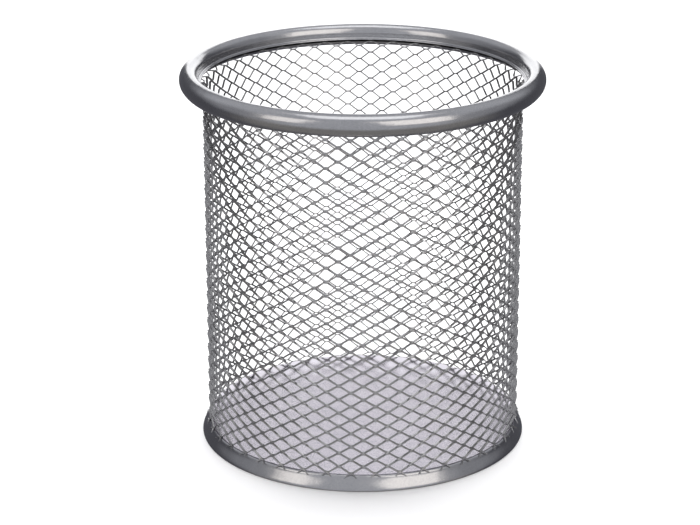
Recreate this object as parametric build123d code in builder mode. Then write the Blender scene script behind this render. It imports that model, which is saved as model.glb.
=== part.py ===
from build123d import *
import math
import os

# Pen holder cup: an expanded-metal sleeve, a rolled sheet rim that grips the
# sleeve's turned-out top edge, and a pressed sheet base with a flared skirt.
# The cup stands on the skirt's lower edge. +Z is up and the Z axis is the
# cup's own axis, with the origin in the middle of the footprint. Millimetres.

# Overall size
overall_height = 95.5
rim_outer_radius = 45.0
base_outer_radius = 41.1

# Sheet stock. The mesh is measured over its raised strands on the wall, and
# is pressed flatter where the rim grips it and where it lies on the base.
rim_sheet = 0.6
base_sheet = 0.6
mesh_depth = 1.0
mesh_pressed = 0.5

# Rolled rim: a round bead, flattened on the side that faces the mouth
bead_radius = 2.7
mouth_radius = 40.4
mouth_bend_height = 2.5

# Mesh sleeve: a straight wall, turned out at the top and flared at the foot
wall_outer_radius = 39.4
flange_outer_radius = 42.0
flange_under_height = 91.35
flange_bend_radius = 0.4
foot_bend_radius = 0.4
inner_bend_radius = 0.9
foot_overhang = 0.6

# Pressed base: flat floor, rounded shoulder and a skirt that leans out
floor_height = 3.75
shoulder_radius = 1.6
skirt_spread = 1.65
foot_contact_angle = 38.7

# Worked-out sizes
bead_center_radius = rim_outer_radius - bead_radius
bead_center_height = overall_height - bead_radius
bead_inside_radius = bead_radius - rim_sheet
flange_top_height = flange_under_height + mesh_pressed
wall_inner_radius = wall_outer_radius - mesh_depth
floor_corner_radius = base_outer_radius - skirt_spread


def bead_point(radius, angle):
    """A point of the rim's section, at an angle from the outward direction."""
    turn = math.radians(angle)
    return (
        bead_center_radius + radius * math.cos(turn),
        bead_center_height + radius * math.sin(turn),
    )


def lip_angle(radius):
    """Where a bead arc that runs under the rim reaches the sleeve's flange."""
    drop = bead_center_height - flange_under_height
    return -180 + math.degrees(math.asin(drop / radius))


def outward_from(point, distance, angle):
    """A point moved square to a slope that falls outward at the given angle."""
    turn = math.radians(angle)
    return (
        point[0] + distance * math.sin(turn),
        point[1] + distance * math.cos(turn),
    )


# Rolled rim. Its section is a C: both edges of the strip close on the flange,
# the lower edge from beneath and the upper edge, on the mouth side, from above.
mouth_bend_base = overall_height - mouth_bend_height
mouth_bend_width = bead_center_radius - mouth_radius
with BuildPart() as top_rim:
    with BuildSketch(Plane.XZ):
        with BuildLine():
            RadiusArc(
                bead_point(bead_radius, lip_angle(bead_radius)),
                bead_point(bead_radius, -90),
                -bead_radius,
            )
            RadiusArc(bead_point(bead_radius, -90), bead_point(bead_radius, 0), -bead_radius)
            RadiusArc(bead_point(bead_radius, 0), bead_point(bead_radius, 90), -bead_radius)
            EllipticalCenterArc(
                (bead_center_radius, mouth_bend_base),
                mouth_bend_width,
                mouth_bend_height,
                start_angle=90,
                arc_size=90,
            )
            Polyline(
                (mouth_radius, mouth_bend_base),
                (mouth_radius, flange_top_height),
                (mouth_radius + rim_sheet, flange_top_height),
                (mouth_radius + rim_sheet, mouth_bend_base),
            )
            EllipticalCenterArc(
                (bead_center_radius, mouth_bend_base),
                mouth_bend_width - rim_sheet,
                mouth_bend_height - rim_sheet,
                start_angle=90,
                arc_size=90,
            )
            RadiusArc(
                bead_point(bead_inside_radius, 90),
                bead_point(bead_inside_radius, 0),
                bead_inside_radius,
            )
            RadiusArc(
                bead_point(bead_inside_radius, 0),
                bead_point(bead_inside_radius, -90),
                bead_inside_radius,
            )
            RadiusArc(
                bead_point(bead_inside_radius, -90),
                bead_point(bead_inside_radius, lip_angle(bead_inside_radius)),
                bead_inside_radius,
            )
            Line(
                bead_point(bead_inside_radius, lip_angle(bead_inside_radius)),
                bead_point(bead_radius, lip_angle(bead_radius)),
            )
        make_face()
    revolve(axis=Axis.Z)
top_rim.part.label = "top_rim"

# Pressed base. The floor stands above the table on a skirt that leans out,
# open underneath, and the skirt's lower edge is the flat ring it rests on.
skirt_lean = math.atan2(skirt_spread, floor_height)
skirt_inset = base_sheet / math.cos(skirt_lean)
floor_under = floor_height - base_sheet
inner_corner_radius = floor_corner_radius - skirt_inset + base_sheet * math.tan(skirt_lean)
with BuildPart() as base_pan:
    with BuildSketch(Plane.XZ):
        with BuildLine():
            FilletPolyline(
                (0, floor_height),
                (floor_corner_radius, floor_height),
                (base_outer_radius, 0),
                radius=shoulder_radius,
            )
            Line((base_outer_radius, 0), (base_outer_radius - skirt_inset, 0))
            FilletPolyline(
                (base_outer_radius - skirt_inset, 0),
                (inner_corner_radius, floor_under),
                (0, floor_under),
                radius=shoulder_radius - base_sheet,
            )
            Line((0, floor_under), (0, floor_height))
        make_face()
    revolve(axis=Axis.Z)
base_pan.part.label = "base_pan"

# Mesh sleeve, made as a thin closed wall of the mesh's outline. Its foot lies
# on the base's shoulder and its top edge turns out into the rim.
shoulder_half_turn = (math.pi / 2 - skirt_lean) / 2
shoulder_center = (
    floor_corner_radius - shoulder_radius * math.tan(shoulder_half_turn),
    floor_height - shoulder_radius,
)
contact = outward_from(shoulder_center, shoulder_radius, foot_contact_angle)
foot_slope = math.tan(math.radians(foot_contact_angle))
foot_end_inner = (contact[0] + foot_overhang, contact[1] - foot_overhang * foot_slope)
foot_end_outer = outward_from(foot_end_inner, mesh_pressed, foot_contact_angle)
foot_corner_inner = (
    wall_inner_radius,
    contact[1] + (contact[0] - wall_inner_radius) * foot_slope,
)
foot_corner_outer = (
    wall_outer_radius,
    foot_end_outer[1] + (foot_end_outer[0] - wall_outer_radius) * foot_slope,
)
with BuildPart() as mesh_sleeve:
    with BuildSketch(Plane.XZ):
        with BuildLine():
            FilletPolyline(
                foot_end_outer,
                foot_corner_outer,
                (wall_outer_radius, flange_under_height),
                (flange_outer_radius, flange_under_height),
                radius=(foot_bend_radius, flange_bend_radius),
            )
            Line(
                (flange_outer_radius, flange_under_height),
                (flange_outer_radius, flange_top_height),
            )
            FilletPolyline(
                (flange_outer_radius, flange_top_height),
                (wall_inner_radius, flange_top_height),
                foot_corner_inner,
                foot_end_inner,
                radius=inner_bend_radius,
            )
            Line(foot_end_inner, foot_end_outer)
        make_face()
    revolve(axis=Axis.Z)
mesh_sleeve.part.label = "mesh_sleeve"

os.makedirs("parts", exist_ok=True)
for piece in (top_rim, mesh_sleeve, base_pan):
    export_step(piece.part, f"parts/{piece.part.label}.step")
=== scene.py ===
"""Pen holder cup: an expanded-metal sleeve gripped by a rolled rim, standing on a pressed base."""

import math

import bmesh
import bpy
import numpy as np
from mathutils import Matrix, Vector


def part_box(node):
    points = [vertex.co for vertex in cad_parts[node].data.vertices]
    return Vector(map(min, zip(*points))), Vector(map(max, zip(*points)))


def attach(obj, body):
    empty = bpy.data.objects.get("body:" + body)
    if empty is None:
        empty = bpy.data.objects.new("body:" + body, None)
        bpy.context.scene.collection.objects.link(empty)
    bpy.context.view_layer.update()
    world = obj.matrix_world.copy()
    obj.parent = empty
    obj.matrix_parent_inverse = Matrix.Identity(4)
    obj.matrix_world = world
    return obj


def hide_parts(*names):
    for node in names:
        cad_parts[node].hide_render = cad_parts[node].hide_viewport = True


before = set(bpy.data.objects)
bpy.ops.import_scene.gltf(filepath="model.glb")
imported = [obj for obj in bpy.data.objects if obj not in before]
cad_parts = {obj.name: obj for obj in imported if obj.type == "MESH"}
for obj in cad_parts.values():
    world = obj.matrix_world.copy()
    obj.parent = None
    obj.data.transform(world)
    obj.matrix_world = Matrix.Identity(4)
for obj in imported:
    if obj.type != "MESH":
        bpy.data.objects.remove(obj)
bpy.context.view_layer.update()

mm = 0.001
rng = np.random.default_rng(11)

# ---------------------------------------------------------------- sizes, in mm
rim_low, rim_high = (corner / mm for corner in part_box("top_rim"))
sleeve_low, sleeve_high = (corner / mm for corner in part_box("mesh_sleeve"))
base_low, base_high = (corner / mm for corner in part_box("base_pan"))

# Rolled rim: round bead, flattened on the side that faces the mouth
bead_radius = (rim_high.z - rim_low.z) / 2
bead_center = (rim_high.x - bead_radius, rim_high.z - bead_radius)
rim_sheet = 0.6
mouth_radius = 40.4
mouth_bend_height = 2.5
flange_top = sleeve_high.z
flange_under = flange_top - 0.5
ledge_radius = 39.56
ledge_sheet = 0.3
ledge_bend = 0.25

# Pressed base: floor, rounded shoulder and a skirt that leans out
base_radius = base_high.x
floor_height = base_high.z
base_sheet = 0.6
shoulder_radius = 0.9
skirt_spread = 1.65
skirt_curve = 0.75
foot_edge_radius = 0.3

# Mesh sheet: middle of the wall's depth, and where its foot and flange end
wall_middle = 38.9
foot_corner_height = 4.13
foot_end = (40.17, 3.11)
flange_middle = (flange_top + flange_under) / 2
flange_end_radius = sleeve_high.x
bend_radius = 0.65

# Diamonds of the mesh
columns = 42
column_pitch = math.radians(8.73) * wall_middle
row_pitch = 1.7535
first_row_height = 3.97
first_node_azimuth = math.radians(-4.12)
bond_half_length = 0.45

# Strands: section, how far it is turned out of the sheet, and how uneven it is
strand_width = 0.57
strand_thickness = 0.28
strand_chamfer = 0.07
strand_tilt = math.radians(65)
pressed_depth = 0.5
wander = 0.02

# Cut legs of the lowest row, which hang over the base's shoulder
stub_reach = 1.3
stub_droop = 1.9
stub_lift = 0.12

# Lap where the sheet's ends meet, and the slant of its rows round the cup
seam_azimuth = math.radians(90)
lap_step = 0.35
lap_run = 9.0
row_climb = 0.003
row_drop = 0.71


# -------------------------------------------------------------- mesh building
def new_piece(name, vertices, faces, material, smooth_angle=30, weld=False):
    """A mesh object from points in mm, shaded smooth up to an angle between faces."""
    mesh = bpy.data.meshes.new(name)
    mesh.from_pydata((np.asarray(vertices) * mm).tolist(), [], faces)
    if weld:
        shape = bmesh.new()
        shape.from_mesh(mesh)
        bmesh.ops.remove_doubles(shape, verts=shape.verts, dist=0.001 * mm)
        shape.to_mesh(mesh)
        shape.free()
    mesh.validate()
    mesh.shade_smooth()
    mesh.set_sharp_from_angle(angle=math.radians(smooth_angle))
    mesh.materials.append(material)
    piece = bpy.data.objects.new(name, mesh)
    bpy.context.collection.objects.link(piece)
    return piece


def arc(center, radii, start, end, steps):
    """Points of a circle or ellipse arc, angles in degrees, both ends included."""
    turns = np.radians(np.linspace(start, end, steps + 1))
    return [(center[0] + radii[0] * math.cos(a), center[1] + radii[1] * math.sin(a)) for a in turns]


def rounded_corner(before, corner, after, radius, steps):
    """Points of the fillet between two straight runs that meet at a corner."""
    before, corner, after = np.array(before), np.array(corner), np.array(after)
    way_in = (before - corner) / np.linalg.norm(before - corner)
    way_out = (after - corner) / np.linalg.norm(after - corner)
    half_angle = math.acos(float(way_in @ way_out)) / 2
    middle = (way_in + way_out) / np.linalg.norm(way_in + way_out)
    center = corner + middle * radius / math.sin(half_angle)
    first = corner + way_in * radius / math.tan(half_angle)
    last = corner + way_out * radius / math.tan(half_angle)
    points = []
    for share in np.linspace(0, 1, steps + 1):
        toward = (first - center) * (1 - share) + (last - center) * share
        points.append(tuple(center + toward * radius / np.linalg.norm(toward)))
    return points


def spun(name, outline, material, turns=360, waviness=0.0):
    """A (radius, height) outline turned about the cup's axis: closed, or from axis to axis."""
    outline = np.array(outline)
    from_axis = bool(outline[0, 0] == 0)
    azimuths = np.arange(turns) * 2 * math.pi / turns
    waves = rng.normal(0, waviness, 8)
    phases = rng.uniform(0, 2 * math.pi, 8)
    vertices = []
    for azimuth in azimuths:
        swell = sum(w * math.cos((n + 2) * azimuth + p) for n, (w, p) in enumerate(zip(waves, phases)))
        for radius, height in outline:
            reach = radius + swell * min(1, radius / wall_middle)
            vertices.append((reach * math.cos(azimuth), reach * math.sin(azimuth), height))
    count = len(outline)
    faces = []
    for i in range(turns):
        here, there = i * count, (i + 1) % turns * count
        for j in range(count - from_axis):
            after = (j + 1) % count
            faces.append((here + j, there + j, there + after, here + after))
    return new_piece(name, vertices, faces, material, weld=from_axis)


# ------------------------------------------------------------------ materials
def node_tree(material):
    """The material's node tree and its surface shader."""
    material.use_nodes = True
    tree = material.node_tree
    return tree, tree.nodes["Principled BSDF"]


def add_node(tree, kind, inputs=None, **settings):
    """A node with its settings made and its input values filled in."""
    node = tree.nodes.new(kind)
    for name, value in settings.items():
        setattr(node, name, value)
    for name, value in (inputs or {}).items():
        node.inputs[name].default_value = value
    return node


def flake_tones(tree, place, flake_size, blotches, dark, light):
    """Colour of the flakes, from one flake to the next and in slow blotches."""
    link = tree.links.new
    flakes = add_node(tree, "ShaderNodeTexVoronoi", {"Scale": 1 / (flake_size * mm)})
    link(place, flakes.inputs["Vector"])
    flake_tone = add_node(tree, "ShaderNodeSeparateColor")
    link(flakes.outputs["Color"], flake_tone.inputs["Color"])
    tone = add_node(tree, "ShaderNodeMath", {1: 0.35}, operation="MULTIPLY")
    link(flake_tone.outputs["Red"], tone.inputs[0])
    mixed = add_node(tree, "ShaderNodeMath", {1: 0.65}, operation="MULTIPLY_ADD")
    link(blotches, mixed.inputs[0])
    link(tone.outputs[0], mixed.inputs[2])
    colours = add_node(tree, "ShaderNodeValToRGB")
    colours.color_ramp.elements[0].position = 0.25
    colours.color_ramp.elements[0].color = (*dark, 1)
    colours.color_ramp.elements[1].position = 0.75
    colours.color_ramp.elements[1].color = (*light, 1)
    link(mixed.outputs[0], colours.inputs["Fac"])
    return mixed.outputs[0], colours.outputs["Color"]


def paint_shade_above(tree, place, colour, height, shade_colour):
    """Painted shade: multiplies the colour by a darker tint above a height in mm."""
    axes = add_node(tree, "ShaderNodeSeparateXYZ")
    tree.links.new(place, axes.inputs[0])
    above = add_node(
        tree, "ShaderNodeMapRange", {"From Min": (height - 0.2) * mm, "From Max": height * mm}
    )
    tree.links.new(axes.outputs["Z"], above.inputs["Value"])
    mix = add_node(tree, "ShaderNodeMix", data_type="RGBA", blend_type="MULTIPLY")
    mix.inputs["B"].default_value = (*shade_colour, 1)
    tree.links.new(above.outputs["Result"], mix.inputs["Factor"])
    tree.links.new(colour, mix.inputs["A"])
    return mix.outputs["Result"]


def silver_paint(
    name, dark, light, roughness, blotch_size, dent_size, dent_depth, metal=1.0, painted_upper_shade=None
):
    """Satin silver paint: flakes in clear lacquer over slightly uneven sheet. Sizes are in mm."""
    material = bpy.data.materials.new(name)
    tree, surface = node_tree(material)
    link = tree.links.new
    place = add_node(tree, "ShaderNodeTexCoord").outputs["Object"]
    blotches = add_node(tree, "ShaderNodeTexNoise", {"Scale": 1 / (blotch_size * mm), "Detail": 3.0})
    link(place, blotches.inputs["Vector"])
    relief_height, colour = flake_tones(tree, place, 0.12, blotches.outputs["Fac"], dark, light)
    # Painted shade above a height, when one is given
    if painted_upper_shade:
        colour = paint_shade_above(tree, place, colour, *painted_upper_shade)
    link(colour, surface.inputs["Base Color"])
    shine = add_node(
        tree, "ShaderNodeMapRange", {"To Min": roughness - 0.05, "To Max": roughness + 0.07}
    )
    link(blotches.outputs["Fac"], shine.inputs["Value"])
    link(shine.outputs["Result"], surface.inputs["Roughness"])
    dents = add_node(tree, "ShaderNodeTexNoise", {"Scale": 1 / (dent_size * mm), "Detail": 1.5})
    link(place, dents.inputs["Vector"])
    uneven = add_node(tree, "ShaderNodeBump", {"Strength": 1.0, "Distance": dent_depth * mm})
    link(dents.outputs["Fac"], uneven.inputs["Height"])
    relief = add_node(tree, "ShaderNodeBump", {"Strength": 0.12, "Distance": 0.02 * mm})
    link(relief_height, relief.inputs["Height"])
    link(uneven.outputs["Normal"], relief.inputs["Normal"])
    link(relief.outputs["Normal"], surface.inputs["Normal"])
    surface.inputs["Metallic"].default_value = metal
    surface.inputs["Coat Weight"].default_value = 0.25
    surface.inputs["Coat Roughness"].default_value = 0.2
    return material


sheet_dark = (0.42, 0.42, 0.435)
sheet_light = (0.54, 0.54, 0.55)
rim_paint = silver_paint(
    "rim_silver",
    sheet_dark,
    sheet_light,
    roughness=0.19,
    blotch_size=9.0,
    dent_size=5.0,
    dent_depth=0.08,
)
base_paint = silver_paint(
    "base_silver",
    sheet_dark,
    sheet_light,
    roughness=0.19,
    blotch_size=9.0,
    dent_size=5.0,
    dent_depth=0.08,
    # Painted shade with a lavender cast: the base's floor inside the cup is darker than the skirt's
    # same paint
    painted_upper_shade=(floor_height, (0.93, 0.885, 0.965)),
)
# Painted shade: the sleeve uses the rim's and base's silver paint with darker flake tones, so the mesh
# reads darker
shaded_mesh_paint = silver_paint(
    "mesh_silver_painted_shade",
    dark=(0.28, 0.278, 0.28),
    light=(0.44, 0.435, 0.435),
    roughness=0.19,
    blotch_size=3.0,
    dent_size=2.0,
    dent_depth=0.02,
    metal=0.85,
)


# ----------------------------------------------------------------- rolled rim
def rim_outline():
    """The rim strip's section: a C that closes on the sleeve's flange, with a ledge in the mouth."""
    inner_bead = bead_radius - rim_sheet
    drop = bead_center[1] - flange_under
    outer_end = -180 + math.degrees(math.asin(drop / bead_radius))
    inner_end = -180 + math.degrees(math.asin(drop / inner_bead))
    bend_base = rim_high.z - mouth_bend_height
    bend_center = (bead_center[0], bend_base)
    bend_width = bead_center[0] - mouth_radius
    outside = arc(bead_center, (bead_radius, bead_radius), outer_end, 90, 30)
    mouth_side = arc(bend_center, (bend_width, mouth_bend_height), 90, 180, 10)[1:]
    ledge_top = flange_top + ledge_sheet
    ledge_bend_center = (mouth_radius - ledge_bend, ledge_top + ledge_bend)
    ledge_turn = arc(ledge_bend_center, (ledge_bend, ledge_bend), 0, -90, 4)
    edge_center = (ledge_radius + ledge_sheet / 2, flange_top + ledge_sheet / 2)
    ledge_edge = arc(edge_center, (ledge_sheet / 2, ledge_sheet / 2), 90, 270, 6)
    closing = ledge_turn + ledge_edge + [(mouth_radius + rim_sheet, flange_top)]
    bend_inside = (bend_width - rim_sheet, mouth_bend_height - rim_sheet)
    mouth_inside = arc(bend_center, bend_inside, 180, 90, 8)
    inside = arc(bead_center, (inner_bead, inner_bead), 90, inner_end, 22)[1:]
    return outside + mouth_side + closing + mouth_inside + inside


top_rim = spun("rolled_rim", rim_outline(), rim_paint, waviness=0.015)
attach(top_rim, "root")
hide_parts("top_rim")


# --------------------------------------------------------------- pressed base
def skirt_point(share):
    """A place on the skirt's outside, which flares fastest halfway down."""
    flare = share * (1 - skirt_curve) + skirt_curve * share**2 * (3 - 2 * share)
    return (base_radius - skirt_spread * (1 - flare), floor_height * (1 - share))


def base_outline():
    """Floor, shoulder and skirt, open underneath, as one bent sheet."""
    lean = math.atan2(skirt_spread, floor_height)
    inset = base_sheet / math.cos(lean)
    under = floor_height - base_sheet
    corner = base_radius - skirt_spread
    inner_corner = corner - inset + base_sheet * math.tan(lean)
    skirt = [skirt_point(share) for share in np.linspace(0.25, 0.85, 11)]
    top = rounded_corner((0, floor_height), skirt_point(0), skirt[0], shoulder_radius, 10)
    foot = rounded_corner(skirt[-1], skirt_point(1), (0, 0), foot_edge_radius, 6)
    foot.append((base_radius - inset, 0))
    below = rounded_corner((base_radius - inset, 0), (inner_corner, under), (0, under), 1.0, 8)
    top_floor = [(r, floor_height) for r in (0, 12, 24, 34)]
    under_floor = [(r, under) for r in (34, 24, 12, 0)]
    return top_floor + top + skirt + foot + below + under_floor


base_pan = spun("pressed_base", base_outline(), base_paint)
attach(base_pan, "root")
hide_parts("base_pan")


# ---------------------------------------------------------------- mesh sleeve
foot_corner = (wall_middle, foot_corner_height)
top_corner = (wall_middle, flange_middle)
flange_end = (flange_end_radius, flange_middle)
side_line = np.array(
    [foot_end]
    + rounded_corner(foot_end, foot_corner, top_corner, bend_radius, 8)
    + rounded_corner(foot_corner, top_corner, flange_end, bend_radius, 8)
    + [flange_end]
)
side_steps = np.linalg.norm(np.diff(side_line, axis=0), axis=1)
side_length = np.concatenate([[0], np.cumsum(side_steps)])
wall_start = side_line[9]
side_length += wall_start[1] - side_length[9]


def on_sleeve(along, up, out):
    """Points in space for places on the sheet: along and up it, and out from its middle."""
    radius = np.interp(up, side_length, side_line[:, 0])
    height = np.interp(up, side_length, side_line[:, 1])
    slope_radius = np.interp(up + 0.02, side_length, side_line[:, 0]) - np.interp(
        up - 0.02, side_length, side_line[:, 0]
    )
    slope_height = np.interp(up + 0.02, side_length, side_line[:, 1]) - np.interp(
        up - 0.02, side_length, side_line[:, 1]
    )
    length = np.maximum(np.hypot(slope_radius, slope_height), 1e-9)
    bent = np.clip(np.abs(slope_radius) / length * 2, 0, 1)
    depth = out * (1 - bent * (1 - pressed_depth))
    radius = radius + depth * slope_height / length
    height = height - depth * slope_radius / length
    azimuth = along / wall_middle
    return np.stack([radius * np.sin(azimuth), -radius * np.cos(azimuth), height], axis=-1)


# Across a strand, its width runs up the sheet and in toward the pens
width_way = np.array([0, math.cos(strand_tilt), -math.sin(strand_tilt)])
half_pitch = column_pitch / 2
sheet_length = columns * column_pitch
sheet_end = seam_azimuth * wall_middle + (sheet_length - 2 * math.pi * wall_middle) / 2
sheet_start = sheet_end - sheet_length

# How far along each half diamond a strand leaves one bond and reaches the next
key_shares = [(bond_half_length, 0.0), (half_pitch - bond_half_length, 1.0)]


def strand_section():
    """A strand's section with its corners cut off, as (width, thickness) points."""
    wide, thick, cut = strand_width / 2, strand_thickness / 2, strand_chamfer
    upper = [(wide, thick - cut), (wide - cut, thick), (cut - wide, thick), (-wide, thick - cut)]
    return upper + [(-a, -b) for a, b in upper]


section = strand_section()


def strand_path(row, start, end):
    """The zigzag of one strand between two rows of bonds, as (along, up, out) points."""
    offset = first_node_azimuth * wall_middle + (row % 2) * half_pitch
    low = first_row_height + row * row_pitch
    first = math.floor((start - offset) / half_pitch) - 1
    last = math.ceil((end - offset) / half_pitch) + 1
    along, share = [], []
    for half in range(first, last + 1):
        rising = half % 2 == 0
        for reach, climbed in key_shares:
            along.append(offset + half * half_pitch + reach)
            share.append(climbed if rising else 1 - climbed)
    along, share = np.array(along), np.array(share)
    inside = (along > start + 0.01) & (along < end - 0.01)
    ends = np.array([start, end])
    shares = np.interp(ends, along, share)
    along = np.concatenate([[start], along[inside], [end]])
    share = np.concatenate([shares[:1], share[inside], shares[1:]])
    shift = strand_width / 2 * width_way
    low_point = np.array([0, low, 0]) + shift
    high_point = np.array([0, low + row_pitch, 0]) - shift
    points = low_point[None] * (1 - share[:, None]) + high_point[None] * share[:, None]
    points[:, 0] += along
    return points


def settle(points):
    """Lays flat-sheet points on the cup: the slight slant of its rows, and its lapped ends."""
    azimuth = np.degrees(points[:, 0] / wall_middle)
    slip = np.clip((-azimuth - 50) / 80, 0, 1)
    points[:, 1] += row_climb * points[:, 0] - row_drop * slip**2 * (3 - 2 * slip)
    from_start = np.clip((points[:, 0] - sheet_start) / lap_run, 0, 1)
    from_end = np.clip((sheet_end - points[:, 0]) / lap_run, 0, 1)
    points[:, 2] += lap_step * ((1 - from_end) ** 2 - (1 - from_start) ** 2)
    return points


def ribbon(points, vertices, faces):
    """A strand along a path, closed at both ends."""
    run = np.gradient(points, axis=0)
    run /= np.linalg.norm(run, axis=1)[:, None]
    across = width_way[None] - (run @ width_way)[:, None] * run
    across /= np.linalg.norm(across, axis=1)[:, None]
    face = np.cross(run, across)
    corners = [points + across * wide + face * thick for wide, thick in section]
    sections = np.stack([on_sleeve(c[:, 0], c[:, 1], c[:, 2]) for c in corners], axis=1)
    base = len(vertices)
    sides, count = len(section), len(points)
    vertices.extend(sections.reshape(-1, 3).tolist())
    for i in range(count - 1):
        here, there = base + sides * i, base + sides * (i + 1)
        for j in range(sides):
            after = (j + 1) % sides
            faces.append((here + j, here + after, there + after, there + j))
    last = base + sides * (count - 1)
    faces.append(tuple(base + j for j in reversed(range(sides))))
    faces.append(tuple(last + j for j in range(sides)))


def sleeve_mesh():
    """All strands of the sheet, from the cut legs at the foot to the flange in the rim."""
    vertices, faces = [], []
    rows = int((side_length[-1] - first_row_height) / row_pitch)
    for row in range(rows):
        points = strand_path(row, sheet_start, sheet_end)
        points += rng.normal(0, wander, points.shape) * (1, 0.6, 0.6)
        ribbon(settle(points), vertices, faces)
    peak_offset = first_node_azimuth * wall_middle
    first = math.ceil((sheet_start - peak_offset) / column_pitch)
    last = math.floor((sheet_end - peak_offset) / column_pitch)
    for column in range(first, last + 1):
        peak = peak_offset + column * column_pitch
        reach = stub_reach + rng.uniform(-0.25, 0.25, 2)
        points = strand_path(-1, peak - reach[0], peak + reach[1])
        points[:, 1] = first_row_height - (first_row_height - points[:, 1]) * stub_droop
        points[:, 2] += stub_lift
        ribbon(settle(points), vertices, faces)
    return vertices, faces


sleeve_vertices, sleeve_faces = sleeve_mesh()
mesh_sleeve = new_piece("expanded_mesh", sleeve_vertices, sleeve_faces, shaded_mesh_paint, 40)
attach(mesh_sleeve, "root")
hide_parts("mesh_sleeve")


# ---------------------------------------------------------------------- stage
def make_floor():
    """A pale floor, which the object doesn't reflect."""
    size = 3.0
    mesh = bpy.data.meshes.new("floor")
    mesh.from_pydata(
        [(-size, -size, 0), (size, -size, 0), (size, size, 0), (-size, size, 0)], [], [(0, 1, 2, 3)]
    )
    floor = bpy.data.objects.new("floor", mesh)
    bpy.context.collection.objects.link(floor)
    material = bpy.data.materials.new("pale_floor")
    tree, surface = node_tree(material)
    surface.inputs["Base Color"].default_value = (0.9, 0.9, 0.9, 1)
    surface.inputs["Roughness"].default_value = 0.9
    surface.inputs["Specular IOR Level"].default_value = 0.0
    mesh.materials.append(material)
    floor.visible_glossy = False
    return floor


def share_toward(tree, place, direction, low, high):
    """Rises from 0 to 1 as a ray turns toward a direction."""
    along = add_node(tree, "ShaderNodeVectorMath", operation="DOT_PRODUCT")
    along.inputs[1].default_value = direction
    tree.links.new(place, along.inputs[0])
    share = add_node(
        tree, "ShaderNodeMapRange", {"From Min": low, "From Max": high}, interpolation_type="SMOOTHSTEP"
    )
    tree.links.new(along.outputs["Value"], share.inputs["Value"])
    return share.outputs["Result"]


def dim_at_sides(tree, place):
    """Falls from 1 to 0.5 as a ray turns to either side."""
    axes = add_node(tree, "ShaderNodeSeparateXYZ")
    tree.links.new(place, axes.inputs[0])
    sideways = add_node(tree, "ShaderNodeMath", operation="MULTIPLY")
    tree.links.new(axes.outputs["X"], sideways.inputs[0])
    tree.links.new(axes.outputs["X"], sideways.inputs[1])
    dimmed = add_node(
        tree,
        "ShaderNodeMapRange",
        {"From Min": 0.4, "From Max": 0.85, "To Min": 1.0, "To Max": 0.5},
        interpolation_type="SMOOTHSTEP",
    )
    tree.links.new(sideways.outputs[0], dimmed.inputs["Value"])
    return dimmed.outputs["Result"]


def room_colour(tree):
    """A grey room overhead and in front, a grey floor in front, and dim behind."""
    link = tree.links.new
    place = add_node(tree, "ShaderNodeTexCoord").outputs["Generated"]
    low = add_node(tree, "ShaderNodeMix", data_type="RGBA")
    low.inputs["A"].default_value = (0.105, 0.105, 0.12, 1)
    low.inputs["B"].default_value = (0.3, 0.29, 0.28, 1)
    link(share_toward(tree, place, (0, -1, -0.6), 0.0, 0.7), low.inputs["Factor"])
    open_share = add_node(tree, "ShaderNodeMath", operation="MULTIPLY")
    link(share_toward(tree, place, (0, -1, 1.6), -0.45, 0.45), open_share.inputs[0])
    link(dim_at_sides(tree, place), open_share.inputs[1])
    room = add_node(tree, "ShaderNodeMix", data_type="RGBA")
    room.inputs["B"].default_value = (0.57, 0.58, 0.615, 1)
    link(low.outputs["Result"], room.inputs["A"])
    link(open_share.outputs[0], room.inputs["Factor"])
    return room.outputs["Result"]


def make_world():
    """White to the camera, and a room to the object."""
    world = bpy.data.worlds.new("studio")
    bpy.context.scene.world = world
    world.use_nodes = True
    tree = world.node_tree
    tree.nodes.clear()
    link = tree.links.new
    seen = add_node(tree, "ShaderNodeBackground", {"Color": (1, 1, 1, 1), "Strength": 1.05})
    lit = add_node(tree, "ShaderNodeBackground", {"Strength": 1.0})
    link(room_colour(tree), lit.inputs["Color"])
    ray = add_node(tree, "ShaderNodeLightPath")
    mix = add_node(tree, "ShaderNodeMixShader")
    link(ray.outputs["Is Camera Ray"], mix.inputs["Fac"])
    link(lit.outputs[0], mix.inputs[1])
    link(seen.outputs[0], mix.inputs[2])
    output = add_node(tree, "ShaderNodeOutputWorld")
    link(mix.outputs[0], output.inputs["Surface"])


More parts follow.
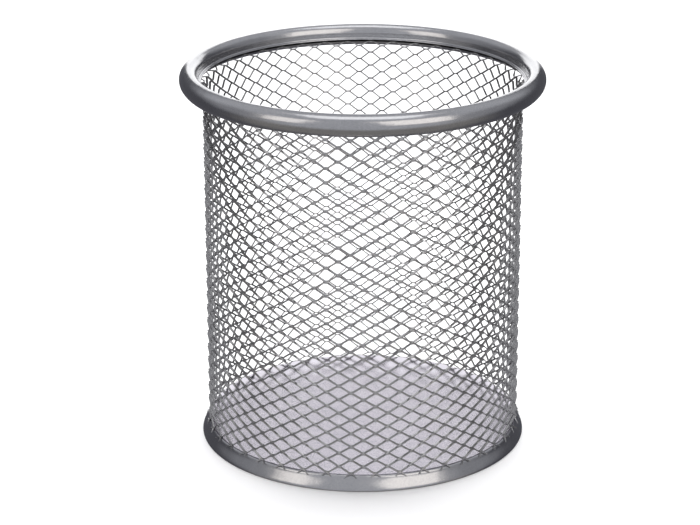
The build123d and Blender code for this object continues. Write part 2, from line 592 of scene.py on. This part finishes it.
def make_softbox(name, size, place, target, brightness, colour=(1, 1, 1)):
    """A flat rectangular light of a stated brightness, which the camera doesn't see."""
    lamp = bpy.data.lights.new(name, "AREA")
    lamp.shape = "RECTANGLE"
    lamp.size, lamp.size_y = size
    lamp.energy = brightness * math.pi * size[0] * size[1]
    lamp.color = colour
    holder = bpy.data.objects.new(name, lamp)
    holder.location = place
    holder.rotation_euler = (Vector(target) - Vector(place)).to_track_quat("-Z", "Y").to_euler()
    holder.visible_camera = False
    bpy.context.collection.objects.link(holder)
    return holder


def around(azimuth, elevation, distance):
    """A place in the room, by azimuth from the front and elevation, in degrees."""
    turn, rise = math.radians(azimuth), math.radians(elevation)
    level = distance * math.cos(rise)
    return (level * math.sin(turn), -level * math.cos(turn), distance * math.sin(rise) + 0.05)


def make_floor_light(elevation, spread, irradiance):
    """Broad light from behind that lights the floor and the paint, but isn't reflected in it."""
    lamp = bpy.data.lights.new("floor_light", "SUN")
    lamp.energy = irradiance
    lamp.angle = math.radians(spread)
    holder = bpy.data.objects.new("floor_light", lamp)
    holder.rotation_euler = (-math.radians(90 - elevation), 0, 0)
    holder.visible_glossy = False
    bpy.context.collection.objects.link(holder)


def make_camera():
    """The photo's viewpoint."""
    lens = bpy.data.cameras.new("camera")
    lens.lens = 125.75
    lens.sensor_width = 36
    lens.shift_x = -0.01807
    lens.clip_start = 0.01
    lens.clip_end = 20
    camera = bpy.data.objects.new("camera", lens)
    camera.location = (0, -0.57978, 0.25144)
    camera.rotation_euler = (math.radians(70.35), 0, 0)
    bpy.context.collection.objects.link(camera)
    bpy.context.scene.camera = camera


cream = (1.0, 0.93, 0.84)
middle = (0, 0, 0.05)
make_floor()
make_world()
make_softbox("overhead", (0.6, 0.5), (0, 0, 0.95), middle, 1.08)
make_softbox("left_strip", (0.45, 0.62), around(-50, 28, 1.0), middle, 0.95, cream)
make_softbox("right_strip", (0.7, 0.75), around(36, 32, 1.0), middle, 1.05, cream)
make_softbox("white_card", (0.184, 0.2), (0, 0.22, 0.1), (0, 0, 0.1), 1.5)
make_floor_light(elevation=55, spread=70, irradiance=3.65)
make_camera()
bpy.context.scene.view_settings.view_transform = "Standard"
